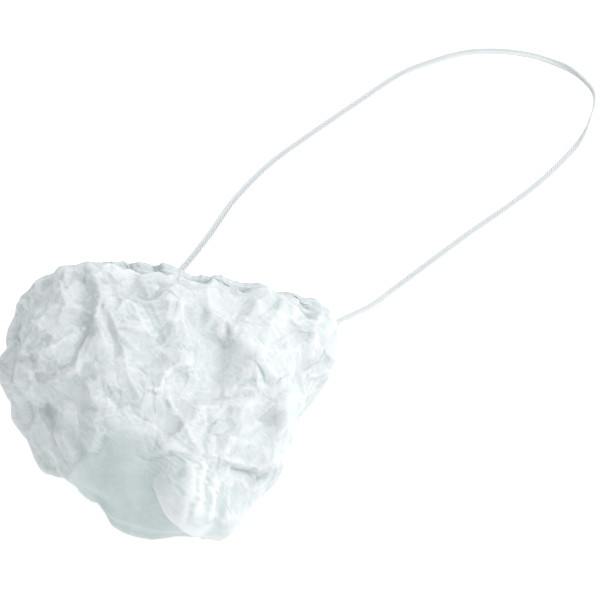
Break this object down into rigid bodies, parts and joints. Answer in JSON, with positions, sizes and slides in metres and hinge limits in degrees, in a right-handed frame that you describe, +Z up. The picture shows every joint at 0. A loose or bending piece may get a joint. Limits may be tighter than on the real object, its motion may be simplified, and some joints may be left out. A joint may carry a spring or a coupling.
{
  "type": "beard cover",
  "caption": "Crumpled white cloth pouch drawn up by an elastic hem at its mouth, with a flat elastic head strap. Worn over the chin to hold in beard hair.",
  "frame": {"origin": "on the surface it lies on, under the middle of the pouch and hem", "axes": "+Z up from the surface, +Y out of the mouth, +X to the right seen from the closed end"},
  "size_m": [0.2437, 0.2495, 0.0559],
  "materials": {
    "spunbond_cloth": "matt white spunbond polypropylene",
    "hem_cloth": "matt white spunbond polypropylene, folded over elastic",
    "braided_elastic": "flat white braided elastic"
  },
  "bodies": {
    "root": {"pouch": "spunbond_cloth", "rim_hem": "hem_cloth", "head_strap": "braided_elastic"}
  },
  "joints": []
}
